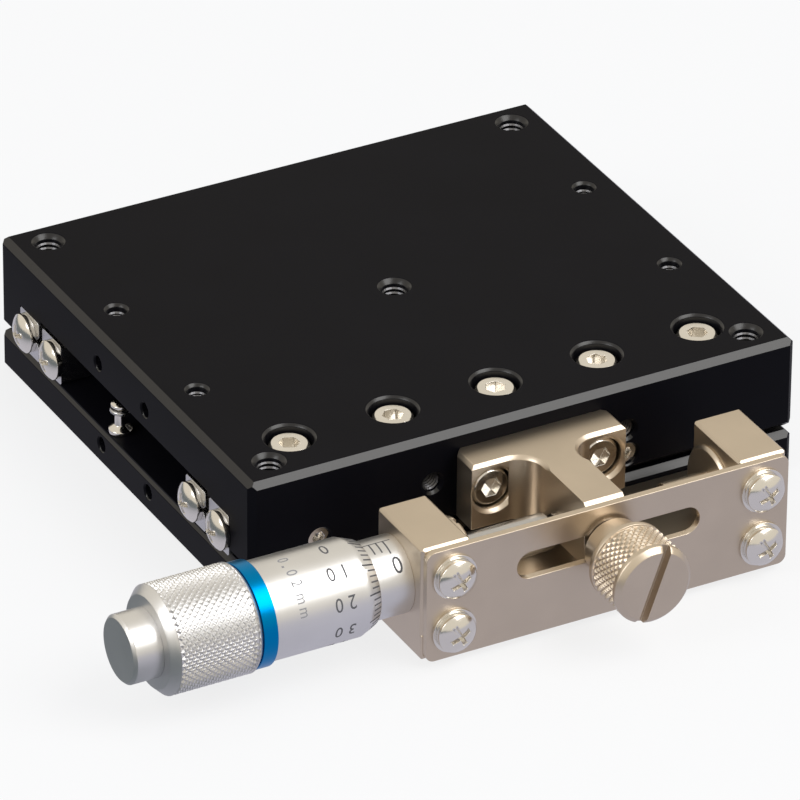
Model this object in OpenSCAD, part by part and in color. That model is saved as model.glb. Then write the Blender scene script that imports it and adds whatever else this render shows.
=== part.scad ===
// Linear translation stage on crossed-roller ways, driven by a side-mounted micrometer head.
// The table slides along X over a fixed base. The origin is the centre of the base's underside.

/* [Stage] */
// Length of the stage along its travel
stage_x = 80; // [74:1:92]
// Width of the stage across its travel
stage_y = 72; // [68:1:82]
// Height from the base's underside to the table's top
stage_z = 20; // [19.5:0.5:24]
// Chamfer on the outer edges of the base and the table
edge_chamfer = 0.9; // [0.3:0.05:1]
// Thickness of the base plate
base_t = 6; // [5.5:0.25:7]
// Gap between the base and the table's side walls
split_gap = 0.6; // [0.4:0.05:1]
// Thickness of the table's side walls
wall_t = 6; // [5:0.25:7]

/* [Crossed-roller ways] */
// Width of one rail
rail_w = 5.5; // [5:0.1:6]
// Height of one rail
rail_h = 6; // [5:0.1:6.5]
// Gap between the two rails of a way
rail_gap = 1; // [0.8:0.05:1.2]
// Height of the land that carries the inner rails
land_h = 0.3; // [0.2:0.05:0.6]
// Clearance between the table and the inner rails
table_relief = 0.6; // [0.3:0.05:1]
// Gap behind the front outer rail, which its side screws close
preload_gap = 0.2; // [0.1:0.05:0.5]
// Pitch of the screws along a rail
rail_pitch = 15; // [12:1:20]
// Least distance from a rail's end to its first screw
rail_end_margin = 6; // [5:0.5:9]
// Distance from a rail's back to its screws
rail_hole_back = 2.5; // [2.4:0.1:2.6]
// Distance from a rail's back to the screws in its ends
rail_end_back = 2.1; // [1.9:0.05:2.3]
// Diameter of a roller
roller_d = 2; // [1.6:0.1:2.2]
// Length of a roller, a little under its diameter
roller_len = 1.86; // [1.4:0.02:1.9]
// Pitch of the rollers in their cage
roller_pitch = 4; // [3:0.25:6]
// Rollers in each cage
roller_count = 15; // [9:1:15]
// Running clearance between a roller and its groove
roller_fit = 0.01; // [0.005:0.005:0.02]
// Thickness of the cage strip
cage_t = 0.4; // [0.3:0.05:0.5]
// Height of the cage strip
cage_h = 4; // [3.8:0.1:4.6]
// Clearance round a roller in its cage window
window_fit = 0.06; // [0.03:0.01:0.12]

/* [Table holes] */
// Spacing along X of the corner holes
corner_pitch_x = 70; // [64:1:72]
// Spacing along Y of the corner holes
corner_pitch_y = 63; // [62.5:0.25:64]
// Spacing along Y of the small side holes
side_pitch_y = 23; // [15:1:35]
// Spacing along Y of the small holes in the end faces
end_pitch_y = 13.4; // [10:0.2:20]
// How far each pair of holes in an end face lies off the stage's middle
end_shift_y = 0.4; // [0.3:0.05:0.6]
// Height of the holes in the base's end faces
base_end_z = 3.5; // [2.8:0.1:4]
// Depth of the small holes in the end faces
end_hole_depth = 5; // [3:0.5:8]
// Spacing along X of the base's fixing holes
foot_pitch_x = 64; // [50:1:66]
// Spacing along Y of the base's fixing holes
foot_pitch_y = 50; // [48:1:56]
// Depth of the base's fixing holes
foot_hole_depth = 4.6; // [3:0.2:5]
// How far the front rail screws' heads lie under the table's top
head_recess = 0.8; // [0.4:0.1:1.2]

/* [Screws] */
// Tapping diameter of the largest holes
m4_tap_d = 3.3; // [3.2:0.05:3.4]
// Countersink of the largest holes
m4_sink_d = 4.6; // [4.2:0.1:5]
// Thread diameter of the rail, bracket and clamp screws
m3_d = 3; // [2.8:0.1:3.2]
// Tapping diameter for those screws
m3_tap_d = 2.5; // [2.4:0.05:2.6]
// Head diameter of a cap screw of that size
m3_head_d = 5.5; // [5:0.1:5.6]
// Head height of a cap screw of that size
m3_head_h = 3; // [2.6:0.1:3.2]
// Width across the flats of its socket
m3_socket = 2.5; // [2:0.1:3]
// Thread diameter of the small cap screws
m2_d = 2; // [1.8:0.1:2.2]
// Head diameter of a small cap screw
m2_head_d = 3.8; // [3.4:0.1:3.9]
// Head height of a small cap screw
m2_head_h = 2; // [1.6:0.1:2.2]
// Width across the flats of a small cap screw's socket
m2_socket = 1.5; // [1.2:0.1:1.6]
// Head diameter of a pan-head screw
pan_head_d = 5.4; // [5.1:0.1:5.6]
// Head height of a pan-head screw
pan_head_h = 1.8; // [1.6:0.1:2.2]
// Radial clearance round a cap screw's head in its counterbore
head_fit = 0.4; // [0.2:0.05:0.5]
// Radial clearance between a screw and the hole it passes or is screwed into
shank_fit = 0.05; // [0.02:0.01:0.1]
// Depth of a blind screw hole past the end of its screw
hole_spare = 0.4; // [0.2:0.1:0.6]
// Length of the screws in the rails' ends
end_screw_l = 4; // [3:0.5:6]
// Grip of the inner rails' screws in the base
inner_thread_l = 4; // [3:0.5:5]
// Grip of the rear rail's screws in the table
rear_thread_l = 4; // [3:0.5:5]

/* [Micrometer bracket] */
// Distance from the stage's middle to the middle of the bracket and the drive arm
drive_x = 0.5; // [0:0.1:1]
// Length of the bracket along X
bracket_x = 53; // [50:1:58]
// Width of each upright block
block_x = 7; // [6:0.25:8]
// Distance from the stage to the blocks
block_gap = 7.8; // [7.2:0.1:8]
// Distance from the stage to the bracket's front
bracket_y = 19.7; // [19.3:0.1:21]
// Height of the bracket's underside
bracket_z0 = 1; // [0.5:0.1:1.2]
// Clearance between the bracket's floor and the micrometer's clamp nut
nut_clear = 0.2; // [0.1:0.05:0.4]
// Length of the tongue that reaches under the base
tongue_l = 10; // [9:0.5:11]
// Margin at each end of the tongue
tongue_margin = 2; // [1:0.5:4]
// Height of the tongue's top
tongue_z = 3; // [2.8:0.1:3.2]
// Clearance round the tongue in the base's pocket
tongue_fit = 0.1; // [0.05:0.05:0.2]
// Height of the tops of the blocks
block_z = 17.3; // [17:0.1:18]
// Thickness of the front plate
plate_t = 1; // [0.8:0.1:1.5]
// Margin between the plate's edge and the bracket's outline
plate_margin = 0.2; // [0.1:0.05:0.6]
// Width of the plate's slot
slot_w = 3.9; // [3.6:0.1:4.2]
// Length of the plate's slot, end to end
slot_l = 26.6; // [25:0.2:28]
// Height of the slot and of the clamp screw
slot_z = 11.4; // [11:0.1:12]
// Distance from the bracket's end to the plate's screws
plate_screw_in = 4.1; // [3.9:0.1:4.4]
// Spacing along Z of the plate's screws
plate_pitch_z = 8; // [7.4:0.1:8.4]
// Height of the middle of the plate's screws
plate_mid_z = 9; // [8.6:0.1:9.2]
// Diameter of the washers
washer_d = 6.2; // [6:0.1:6.6]
// Thickness of the washers
washer_t = 0.4; // [0.3:0.05:0.6]
// Diameter of the two upright holes in the bracket's floor
floor_hole_d = 3.2; // [2.5:0.1:3.4]
// Spacing along X of those holes
floor_hole_pitch = 37.6; // [36:0.2:39]
// Spacing along X of the screws that hold the bracket to the base
bracket_screw_pitch = 14; // [12:0.5:15]
// Head diameter of those countersunk screws
flat_head_d = 5.4; // [5:0.1:5.6]
// Grip of those screws in the base
bracket_thread_l = 2.2; // [1.8:0.1:2.4]

/* [Drive arm] */
// Width of the arm's head
arm_head_w = 22.6; // [22:0.1:23.6]
// Thickness of the arm's head
arm_head_t = 5; // [4.5:0.1:5.4]
// Width of the arm's stem
arm_stem_w = 5.7; // [5.2:0.1:6.4]
// Radius between the head and the stem
arm_fillet = 3.4; // [3:0.1:4.2]
// Height of the arm's underside
arm_z0 = 7.9; // [7.5:0.1:8.1]
// Spacing along X of the arm's screws
arm_pitch = 16; // [15.6:0.1:16.4]
// Height of the arm's screws and of the spare holes beside it
arm_screw_z = 13; // [12.6:0.1:13.4]
// Thickness under the arm's screw heads
arm_seat = 1.2; // [1:0.1:1.6]
// Grip of the arm's screws in the table
arm_thread_l = 4; // [3:0.25:4.5]
// Corner cut at the back of the arm's head
arm_corner = 1; // [0.5:0.1:1.4]
// Chamfer on the arm's top edges at the front
arm_edge = 0.5; // [0.2:0.05:0.6]
// Spacing along X of the spare holes beside the arm
spare_pitch = 28.5; // [27:0.25:30]
// Depth of the spare holes
spare_depth = 5; // [4:0.25:5]

/* [Clamp screw] */
// Diameter of the clamp screw's knurled head
clamp_head_d = 11; // [10:0.1:11.6]
// Length of the knurled head
clamp_head_l = 8; // [6:0.1:9]
// Diameter of the neck behind the head
clamp_neck_d = 8; // [7:0.1:9]
// Length of the neck
clamp_neck_l = 3.2; // [2:0.1:4]
// Width of the screwdriver slot
clamp_slot_w = 1.2; // [0.8:0.1:1.6]
// Depth of the screwdriver slot
clamp_slot_depth = 1.2; // [0.8:0.1:1.6]
// Turn of the slot from level
clamp_slot_turn = 70; // [0:5:90]
// Grip of the clamp screw in the arm
clamp_thread_l = 4; // [3:0.25:4]
// Gap between the clamp's washer and the plate with the clamp open
clamp_gap = 0.25; // [0.2:0.05:0.4]

/* [Micrometer head] */
// Distance from the stage's front to the micrometer's axis
mic_gap = 12.8; // [12.5:0.1:13.2]
// Height of the micrometer's axis
mic_z = 10.2; // [10:0.1:10.5]
// Diameter of the stem in the bracket
stem_d = 8; // [7.6:0.1:8.4]
// Diameter of the graduated sleeve
sleeve_d = 10.4; // [10:0.1:10.8]
// Diameter of the spindle
spindle_d = 5; // [4.5:0.1:5.4]
// Running clearance round the spindle
spindle_fit = 0.03; // [0.02:0.01:0.05]
// Running clearance between the sleeve and the thimble
thimble_fit = 0.08; // [0.05:0.01:0.1]
// Diameter of the thimble
thimble_d = 13.1; // [12.6:0.1:13.6]
// Diameter of the thimble's bevelled edge
bevel_d = 11.3; // [11.1:0.1:11.8]
// Length of the graduated bevel
bevel_l = 2.2; // [1.5:0.1:3]
// Length of the thimble from its edge to the colour ring
thimble_l = 15.3; // [14:0.1:16]
// Length of the colour ring
ring_l = 2; // [1.5:0.1:3]
// How far the colour ring stands proud of the thimble
ring_step = 0.45; // [0.3:0.05:0.5]
// How far the knurled grip stands proud of the thimble
grip_step = 0.7; // [0.55:0.05:1]
// Length of the knurled grip
grip_l = 12.8; // [12:0.1:16]
// Diameter of the end knob
knob_d = 9.2; // [8:0.1:10]
// Length of the end knob
knob_l = 4.1; // [3:0.1:5]
// Distance from the bracket to the sleeve's zero line
zero_gap = 2; // [1:0.1:3]
// Travel of the spindle
mic_travel = 13; // [10:0.5:13]
// Reading with the table over the base
mic_reading = 3; // [2:0.5:5]
// Diameter of the clamp nut and of the stop plug's flange
nut_d = 10.8; // [10.4:0.1:11]
// Length of the clamp nut
nut_l = 2; // [1.6:0.1:3]
// Thickness of the stop plug's flange
flange_l = 0.6; // [0.5:0.1:1.5]
// Diameter of the ball in the spindle's end
ball_d = 3; // [2.5:0.1:3.2]
// Diameter of the stop plug's pin
pin_d = 4; // [3:0.1:4.4]
// Length of the stop plug's pin, from the block
pin_l = 7; // [5:0.1:9]
// Depth of the hole in the pin's end
pin_hole_l = 3; // [2:0.5:4]
// Length of the spindle held in the thimble
spindle_grip = 8; // [6:0.5:9]

/* [Return spring] */
// Outer diameter of the return spring
spring_d = 4.4; // [3.6:0.1:4.8]
// Diameter of the spring's wire
wire_d = 0.6; // [0.4:0.05:0.8]
// Distance from the base's left end to its spring post
base_post_in = 1.7; // [1.7:0.1:4]
// Distance from the table's right end to its spring post
table_post_in = 14.3; // [12:0.1:16]
// Distance of the spring from the stage's middle
spring_y = 4; // [0:0.5:8]
// Diameter of a spring post
post_d = 1.6; // [1.2:0.1:2]
// Depth of a spring post's root
post_root = 3; // [2:0.25:4]

/* [Hidden] */

$fn = 64;
eps = 0.01;

black = "#1e1e22";
nickel = "#c9b696";
steel = "#c8c9cc";
satin = "#d9dadb";
bright = "#e4ddd0";

front = -stage_y / 2;
rail_z = base_t + land_h;
way_z = rail_z + rail_h / 2;
outer_back = stage_y / 2 - wall_t;
groove_face = outer_back - rail_w;
way_y = groove_face - rail_gap / 2;
inner_back = groove_face - rail_gap - rail_w;
land_y = groove_face - rail_gap - 0.2;
table_z0 = base_t + split_gap;
table_under = rail_z + rail_h;
relief_z = table_under + table_relief;
relief_y = groove_face - 0.5;
groove_reach = (roller_d / 2 + roller_fit) * sqrt(2);
groove_depth = groove_reach - rail_gap / 2;
groove_slot = 0.5;

rail_screw_n = floor((stage_x - 2 * rail_end_margin) / rail_pitch) + 1;
rail_screw_x = [for (i = [0 : rail_screw_n - 1]) (i - (rail_screw_n - 1) / 2) * rail_pitch];
outer_screw_y = outer_back - rail_hole_back;
inner_screw_y = inner_back + rail_hole_back;
m3_bore_d = m3_head_d + 2 * head_fit;
m3_clear_d = m3_d + 0.4;
m3_thread_d = m3_d + 2 * shank_fit;
m2_clear_d = m2_d + 2 * shank_fit;
m2_bore_d = m2_head_d + 0.5;
front_seat_z = stage_z - head_recess - m3_head_h;

block_mid = (bracket_x - block_x) / 2;
plate_screw_x = bracket_x / 2 - plate_screw_in;
floor_z = mic_z - nut_d / 2 - nut_clear;
left_face = drive_x - bracket_x / 2;
left_inner = left_face + block_x;
right_inner = drive_x + bracket_x / 2 - block_x;
mic_y = front - mic_gap;
plate_y = front - bracket_y;
plate_z1 = block_z - plate_margin;
plate_z0 = bracket_z0;
plate_thread_l = bracket_y - mic_gap - stem_d / 2 - 0.3;
tongue_x = bracket_x - 2 * tongue_margin;
flat_head_l = (flat_head_d - m3_d) / 2;
seat_fit = 0.02;

arm_y1 = plate_y + 0.3;
arm_top = block_z;
head_y = front - arm_head_t;
stem_left = drive_x - arm_stem_w / 2;
pad_d = 4;
pad_l = 0.8;
pad_root_d = 2;
pad_root_l = 2.2;
ball_x = stem_left - pad_l - seat_fit - ball_d / 2;
spindle_x1 = ball_x + ball_d / 4;

edge_x = left_face - zero_gap - mic_reading;
ring_d = thimble_d + 2 * ring_step;
grip_d = thimble_d + 2 * grip_step;
ring_x = edge_x - thimble_l;
grip_x = ring_x - ring_l;
knob_x = grip_x - grip_l;
core_d = thimble_d - 1.2;
sleeve_l = zero_gap + mic_travel + 1.5;
thread_nut_l = 3;
thread_nut_wall = 1.5;
rim_edge = 0.4;
nut_slot = 1.2;
cavity_end = left_face - sleeve_l - thread_nut_l - mic_reading - 0.8;

post_left = -stage_x / 2 + base_post_in;
post_right = stage_x / 2 - table_post_in;
spring_l = post_right - post_left;
spring_z = (rail_z + relief_z) / 2;
post_reach = (relief_z - rail_z + wire_d) / 2 + 1;

// A block with every edge chamfered, centred in X and Y, from z = 0 up
module chamfered_block(x, y, z, c) {
    module outline(a, b) {
        polygon([[-a / 2 + c, -b / 2], [a / 2 - c, -b / 2], [a / 2, -b / 2 + c], [a / 2, b / 2 - c],
                 [a / 2 - c, b / 2], [-a / 2 + c, b / 2], [-a / 2, b / 2 - c], [-a / 2, -b / 2 + c]]);
    }
    translate([0, 0, z / 2])
        intersection() {
            translate([0, 0, -z / 2]) linear_extrude(z) outline(x, y);
            rotate([90, 0, 0]) linear_extrude(y, center = true) outline(x, z);
            rotate([90, 0, 90]) linear_extrude(x, center = true) outline(y, z);
        }
}

// A cylinder that points along +X from x = 0
module rod_x(d, l) {
    rotate([0, 90, 0]) cylinder(d = d, h = l);
}

// A cylinder that points along -Y from y = 0
module rod_y(d, l) {
    rotate([90, 0, 0]) cylinder(d = d, h = l);
}

// A hole to be tapped, opening at z = 0 downwards, with its countersink
module tapped_hole(d, depth, sink_d) {
    translate([0, 0, -depth]) cylinder(d = d, h = depth + eps);
    translate([0, 0, -(sink_d - d) / 2]) cylinder(d1 = d, d2 = sink_d + 2 * eps, h = (sink_d - d) / 2 + eps);
}

// A stepped hole for a cap screw: its head sits at z = 0 and its shank points down
module counterbore(shank_d, head_d, shank_l, head_l, rim) {
    translate([0, 0, -shank_l]) cylinder(d = shank_d, h = shank_l + eps);
    cylinder(d = head_d, h = head_l + eps);
    translate([0, 0, head_l - rim]) cylinder(d1 = head_d, d2 = head_d + 2 * rim + 2 * eps, h = rim + eps);
}

// A socket cap screw: its head stands on z = 0 and its shank points down
module cap_screw(d, head_d, head_h, socket, l) {
    edge = head_d / 14;
    difference() {
        rotate_extrude()
            polygon([[0, -l], [d / 2, -l], [d / 2, 0], [head_d / 2, 0], [head_d / 2, head_h - edge],
                     [head_d / 2 - edge, head_h], [0, head_h]]);
        translate([0, 0, head_h * 0.5]) cylinder(d = socket / cos(30), h = head_h, $fn = 6);
    }
}

// A pan-head screw with a cross recess: its head stands on z = 0 and its shank points down
module pan_screw(d, head_d, head_h, l) {
    rim_h = head_h * 0.45;
    crown = head_h - rim_h;
    dome_r = (head_d * head_d / 4 + crown * crown) / (2 * crown);
    difference() {
        union() {
            intersection() {
                cylinder(d = head_d, h = head_h);
                translate([0, 0, head_h - dome_r]) sphere(r = dome_r, $fn = 128);
            }
            translate([0, 0, -l]) cylinder(d = d, h = l + eps);
        }
        for (a = [0, 90])
            rotate([0, 0, a])
                translate([-head_d * 0.26, -head_d * 0.055, head_h * 0.4])
                    cube([head_d * 0.52, head_d * 0.11, head_h]);
    }
}

// Cross-section of a rail in (y, z): its back at y = 0, its roller groove at y = rail_w
module rail_section() {
    c = 0.3;
    h = rail_h / 2;
    g = groove_depth;
    s = groove_slot / 2;
    polygon([[c, 0], [rail_w - c, 0], [rail_w, c], [rail_w, h - g], [rail_w - g + s, h - s],
             [rail_w - g - s, h - s], [rail_w - g - s, h + s], [rail_w - g + s, h + s],
             [rail_w, h + g], [rail_w, rail_h - c], [rail_w - c, rail_h], [c, rail_h],
             [0, rail_h - c], [0, c]]);
}

// A rail lying along X with its groove towards +Y and its end holes for the pan-head screws
module rail_blank() {
    difference() {
        rotate([90, 0, 90]) linear_extrude(stage_x, center = true) rail_section();
        for (s = [-1, 1])
            translate([s * (stage_x / 2 + eps), rail_end_back, rail_h / 2])
                rotate([0, -90 * s, 0]) cylinder(d = m2_clear_d, h = end_screw_l + hole_spare);
    }
}

// A rail whose small screws enter from above, in counterbores
module counterbored_rail() {
    difference() {
        rail_blank();
        for (x = rail_screw_x)
            translate([x, rail_hole_back, rail_h - m2_head_h - 0.2])
                counterbore(m2_clear_d, m2_bore_d, rail_h, m2_head_h + 0.2, 0.1);
    }
}

// A rail tapped for screws that come down through the table
module tapped_rail() {
    difference() {
        rail_blank();
        for (x = rail_screw_x)
            translate([x, rail_hole_back, -eps]) cylinder(d = m3_thread_d, h = rail_h + 2 * eps);
    }
}

// ---- Base: the fixed half of the stage ----

module base_plate() {
    color(black)
        difference() {
            union() {
                chamfered_block(stage_x, stage_y, base_t, edge_chamfer);
                translate([-stage_x / 2, -land_y, base_t - eps])
                    cube([stage_x, 2 * land_y, land_h + eps]);
            }
            for (x = rail_screw_x, s = [-1, 1])
                translate([x, s * inner_screw_y, rail_z])
                    tapped_hole(m2_clear_d, inner_thread_l + hole_spare, m2_clear_d);
            for (x = [-1, 1], y = [-1, 1])
                translate([x * foot_pitch_x / 2, y * foot_pitch_y / 2, 0])
                    rotate([180, 0, 0]) tapped_hole(m4_tap_d, foot_hole_depth, m4_sink_d);
            end_holes(base_end_z, end_shift_y);
            // pocket of the bracket's tongue, and the holes of its screws
            translate([drive_x - tongue_x / 2 - tongue_fit, front - eps, -eps])
                cube([tongue_x + 2 * tongue_fit, tongue_l + tongue_fit + eps, tongue_z + eps]);
            at_bracket_screws() cylinder(d = m3_thread_d, h = tongue_z - bracket_z0 + bracket_thread_l + hole_spare);
            translate([post_left, spring_y, rail_z]) post_hole();
        }
}

// Two small tapped holes in each end face, shift off the middle. The block is turned round for its
// second end, so the two pairs lie to opposite sides.
module end_holes(z, shift) {
    for (s = [-1, 1], y = [-1, 1])
        translate([s * stage_x / 2, y * end_pitch_y / 2 + s * shift, z])
            rotate([0, s * 90, 0]) tapped_hole(m2_d, end_hole_depth, m2_d + 0.4);
}

// A hole for the root of a spring post, below z = 0
module post_hole() {
    tapped_hole(post_d + 2 * seat_fit, post_root, post_d + 2 * seat_fit);
}

// One rail of each way is fixed to the base, back to back with its twin
module inner_rail_front() {
    color(steel)
        translate([0, -inner_back, rail_z]) mirror([0, 1, 0]) counterbored_rail();
}

module inner_rail_rear() {
    color(steel)
        translate([0, inner_back, rail_z]) counterbored_rail();
}

module inner_rail_screws() {
    color(bright)
        for (x = rail_screw_x, s = [-1, 1])
            translate([x, s * inner_screw_y, table_under - m2_head_h - 0.2])
                cap_screw(m2_d, m2_head_d, m2_head_h, m2_socket, rail_h - m2_head_h - 0.2 + inner_thread_l);
}

// The pan-head screws in both ends of a rail, at a given place across the stage
module rail_end_screws(y) {
    color(bright)
        for (s = [-1, 1])
            translate([s * stage_x / 2, y, way_z])
                rotate([0, 90 * s, 0]) rotate([0, 0, 20]) pan_screw(m2_d, pan_head_d, pan_head_h, end_screw_l);
}

module inner_rail_end_screws() {
    for (s = [-1, 1]) rail_end_screws(s * (inner_back + rail_end_back));
}

module bracket() {
    h = block_z - bracket_z0;
    depth = bracket_y - block_gap;
    color(nickel)
        difference() {
            union() {
                translate([drive_x, front - bracket_y / 2, bracket_z0])
                    chamfered_block(bracket_x, bracket_y, floor_z - bracket_z0, 0.2);
                translate([drive_x - tongue_x / 2, front - 1, bracket_z0])
                    cube([tongue_x, tongue_l + 1, tongue_z - bracket_z0]);
                for (s = [-1, 1])
                    translate([drive_x + s * block_mid, plate_y + depth / 2, bracket_z0])
                        chamfered_block(block_x, depth, h, 0.4);
            }
            for (x = [left_face, right_inner])
                translate([x - eps, mic_y, mic_z]) rod_x(stem_d + 2 * shank_fit, block_x + 2 * eps);
            for (s = [-1, 1]) {
                translate([drive_x + s * floor_hole_pitch / 2, front - block_gap / 2, floor_z])
                    tapped_hole(floor_hole_d, floor_z, floor_hole_d + 0.6);
                for (z = [-1, 1])
                    translate([drive_x + s * plate_screw_x, plate_y, plate_mid_z + z * plate_pitch_z / 2])
                        rotate([90, 0, 0]) cylinder(d = m3_thread_d, h = 2 * plate_thread_l + 0.3, center = true);
            }
            at_bracket_screws() {
                translate([0, 0, -eps]) cylinder(d1 = flat_head_d + 2 * seat_fit + 2 * eps, d2 = m3_clear_d, h = flat_head_l + eps);
                cylinder(d = m3_clear_d, h = tongue_z);
            }
        }
}

// Places its children at the screws under the tongue, with +Z up into the base
module at_bracket_screws() {
    for (i = [-1.5, -0.5, 0.5, 1.5])
        translate([drive_x + i * bracket_screw_pitch, front + tongue_l / 2, bracket_z0]) children();
}

module bracket_screws() {
    color(bright)
        at_bracket_screws()
            difference() {
                union() {
                    cylinder(d1 = flat_head_d, d2 = m3_d, h = flat_head_l);
                    cylinder(d = m3_d, h = tongue_z - bracket_z0 + bracket_thread_l);
                }
                translate([0, 0, -eps]) cylinder(d = m2_socket / cos(30), h = flat_head_l, $fn = 6);
            }
}

// The front plate ties the two blocks together; the clamp screw runs in its slot
module front_plate() {
    w = bracket_x - 2 * plate_margin;
    h = plate_z1 - plate_z0;
    r = 1.2;
    color(nickel)
        translate([drive_x, plate_y, plate_z0])
            rotate([90, 0, 0])
                linear_extrude(plate_t)
                    difference() {
                        union() {
                            translate([-w / 2 + r, 0]) square([w - 2 * r, h]);
                            translate([-w / 2, r]) square([w, h - 2 * r]);
                            for (x = [-1, 1], y = [r, h - r]) translate([x * (w / 2 - r), y]) circle(r);
                        }
                        translate([-slot_l / 2 + slot_w / 2, slot_z - plate_z0 - slot_w / 2])
                            square([slot_l - slot_w, slot_w]);
                        for (s = [-1, 1]) {
                            translate([s * (slot_l - slot_w) / 2, slot_z - plate_z0]) circle(d = slot_w);
                            for (z = [-1, 1])
                                translate([s * plate_screw_x, plate_mid_z + z * plate_pitch_z / 2 - plate_z0])
                                    circle(d = m3_clear_d);
                        }
                    }
}

// Places its children at the plate's four screws, with +Z out of the plate
module at_plate_screws() {
    for (s = [-1, 1], z = [-1, 1])
        translate([drive_x + s * plate_screw_x, plate_y - plate_t, plate_mid_z + z * plate_pitch_z / 2])
            rotate([90, 0, 0]) children();
}

module plate_washers() {
    color(bright)
        at_plate_screws()
            difference() {
                cylinder(d = washer_d, h = washer_t);
                translate([0, 0, -eps]) cylinder(d = m3_clear_d, h = washer_t + 2 * eps);
            }
}

module plate_screws() {
    color(bright)
        at_plate_screws()
            translate([0, 0, washer_t])
                rotate([0, 0, 28]) pan_screw(m3_d, pan_head_d, pan_head_h, washer_t + plate_t + plate_thread_l);
}

// A plug closes the second micrometer hole, and its hollow pin faces the drive arm
module stop_plug() {
    color(nickel)
        translate([right_inner, mic_y, mic_z])
            difference() {
                union() {
                    rod_x(stem_d, block_x - 0.5);
                    translate([-flange_l, 0, 0]) rotate([0, 90, 0])
                        cylinder(d1 = nut_d - 2 * rim_edge, d2 = nut_d, h = rim_edge);
                    translate([rim_edge - flange_l, 0, 0]) rod_x(nut_d, flange_l - rim_edge);
                    translate([-pin_l, 0, 0]) rod_x(pin_d, pin_l);
                }
                translate([-pin_l - eps, 0, 0]) rod_x(pin_d / 2, pin_hole_l);
            }
}

// ---- Micrometer: the sleeve is clamped in the bracket, the rest turns on it ----

module micrometer_sleeve() {
    bore = spindle_d + 2 * spindle_fit;
    x0 = left_face - sleeve_l;
    color(satin)
        translate([0, mic_y, mic_z])
            difference() {
                union() {
                    translate([x0, 0, 0]) rod_x(sleeve_d, sleeve_l);
                    translate([left_face - eps, 0, 0]) rod_x(stem_d, block_x + nut_l + eps);
                    translate([x0 - thread_nut_l, 0, 0]) rod_x(spindle_d + 2 * thread_nut_wall, thread_nut_l + eps);
                }
                translate([x0 - thread_nut_l - eps, 0, 0])
                    rod_x(bore, sleeve_l + thread_nut_l + block_x + nut_l + 2 * eps);
            }
}

module sleeve_nut() {
    color(nickel)
        translate([left_inner, mic_y, mic_z])
            difference() {
                rotate([0, 90, 0]) rotate_extrude()
                    polygon([[stem_d / 2 + seat_fit, 0], [nut_d / 2, 0], [nut_d / 2, nut_l - rim_edge],
                             [nut_d / 2 - rim_edge, nut_l], [stem_d / 2 + seat_fit, nut_l]]);
                // four spanner slots
                for (a = [0, 90])
                    rotate([a, 0, 0]) translate([nut_l - nut_slot / 2, -nut_d, -nut_slot / 2])
                        cube([nut_slot, 2 * nut_d, nut_slot]);
            }
}

// A hard ball in the spindle's end bears on the drive pad
module spindle_ball() {
    color(steel)
        translate([ball_x, mic_y, mic_z]) sphere(d = ball_d);
}

module spindle() {
    c = 0.5;
    x0 = cavity_end - spindle_grip;
    color(steel)
        translate([0, mic_y, mic_z])
            difference() {
                translate([x0, 0, 0])
                    rotate([0, 90, 0])
                        rotate_extrude()
                            polygon([[0, 0], [spindle_d / 2, 0], [spindle_d / 2, spindle_x1 - x0 - c],
                                     [spindle_d / 2 - c, spindle_x1 - x0], [0, spindle_x1 - x0]]);
                translate([ball_x, 0, 0]) rod_x(ball_d + 2 * seat_fit, ball_d);
                translate([ball_x, 0, 0]) sphere(d = ball_d + 2 * seat_fit);
            }
}

// The thimble: a tube with a bevelled edge, stepped down at the back for the ring and the grip
module thimble() {
    bore = sleeve_d / 2 + thimble_fit;
    spindle_bore = spindle_d / 2 + seat_fit;
    back = knob_x - edge_x;
    color(satin)
        translate([edge_x, mic_y, mic_z])
            rotate([0, 90, 0])
                rotate_extrude()
                    polygon([[bore, 0], [bevel_d / 2, 0], [thimble_d / 2, -bevel_l], [thimble_d / 2, -thimble_l],
                             [core_d / 2, -thimble_l], [core_d / 2, back + 0.8], [spindle_bore, back + 0.8],
                             [spindle_bore, cavity_end - edge_x], [bore, cavity_end - edge_x]]);
}

module colour_ring() {
    color("#0a8fd0")
        translate([grip_x, mic_y, mic_z])
            rotate([0, 90, 0])
                rotate_extrude()
                    translate([core_d / 2 + seat_fit, 0]) square([(ring_d - core_d) / 2 - seat_fit, ring_l]);
}

module knurled_grip() {
    c = 1.1;
    inner = core_d / 2 + seat_fit;
    color(satin)
        translate([knob_x, mic_y, mic_z])
            rotate([0, 90, 0])
                rotate_extrude()
                    polygon([[knob_d / 2 - 1.6, 0], [grip_d / 2 - c, 0], [grip_d / 2, c], [grip_d / 2, grip_l - c / 2],
                             [grip_d / 2 - c / 2, grip_l], [inner, grip_l], [inner, 0.8 - seat_fit],
                             [knob_d / 2 - 1.6, 0.8 - seat_fit]]);
}

module end_knob() {
    c = 0.4;
    color(satin)
        translate([knob_x, mic_y, mic_z])
            rotate([0, 90, 0])
                rotate_extrude()
                    polygon([[0, 0.75], [knob_d / 2 - 1.65, 0.75], [knob_d / 2 - 1.65, 0], [knob_d / 2, 0],
                             [knob_d / 2, c - knob_l], [knob_d / 2 - c, -knob_l], [0, -knob_l]]);
}

// ---- Cages: strips that keep the rollers apart, between the two rails of each way ----

// Places its children at every roller of the cage at y, turned to its own axis
module at_rollers(y) {
    for (i = [0 : roller_count - 1])
        translate([(i - (roller_count - 1) / 2) * roller_pitch, y, way_z])
            rotate([i % 2 == 0 ? 45 : -45, 0, 0]) children();
}

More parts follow.
